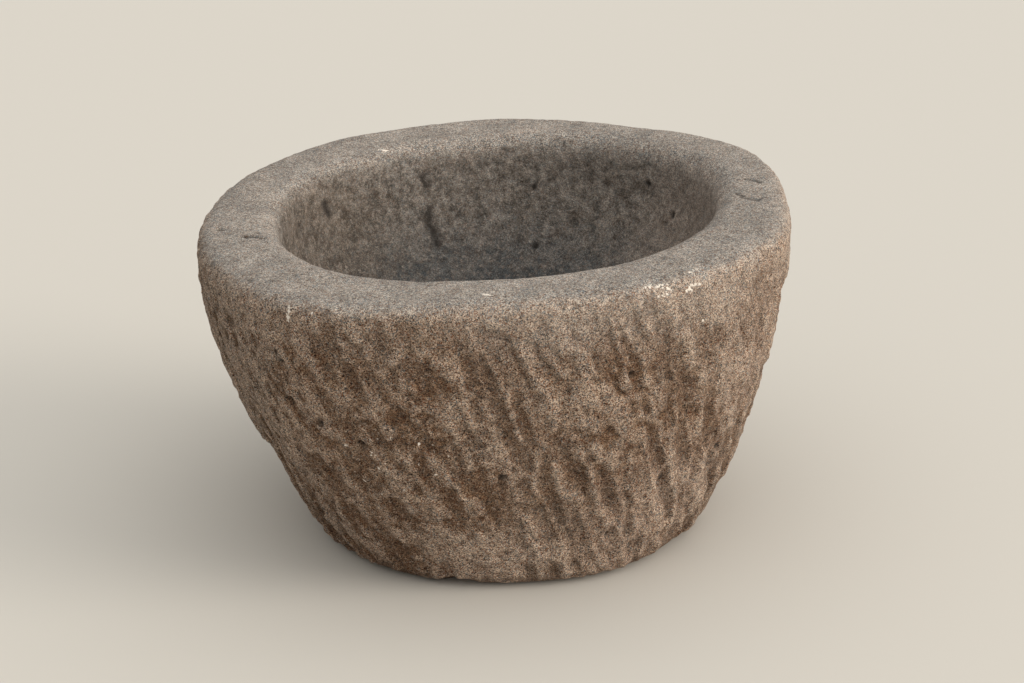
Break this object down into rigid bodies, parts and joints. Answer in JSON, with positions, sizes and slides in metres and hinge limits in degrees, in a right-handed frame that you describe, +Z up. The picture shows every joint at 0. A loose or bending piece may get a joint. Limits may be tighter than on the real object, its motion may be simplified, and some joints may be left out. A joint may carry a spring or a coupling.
{
  "type": "stone mortar bowl",
  "caption": "Deep thick-walled stone mortar, a hand-carved bowl with a flat foot and a worn round rim, for grinding and crushing food.",
  "frame": {"origin": "middle of the rim's width and depth, on the face that the mortar stands on", "axes": "+Z up out of the hollow, +X to the right along the width of the rim, +Y to the back along its depth, so the front faces -Y"},
  "size_m": [0.3, 0.306, 0.1723],
  "materials": {
    "stone": "hand-pecked grey-brown volcanic stone, matt and rough, smoother on the rim and inside"
  },
  "bodies": {
    "root": {"mortar": "stone"}
  },
  "joints": []
}
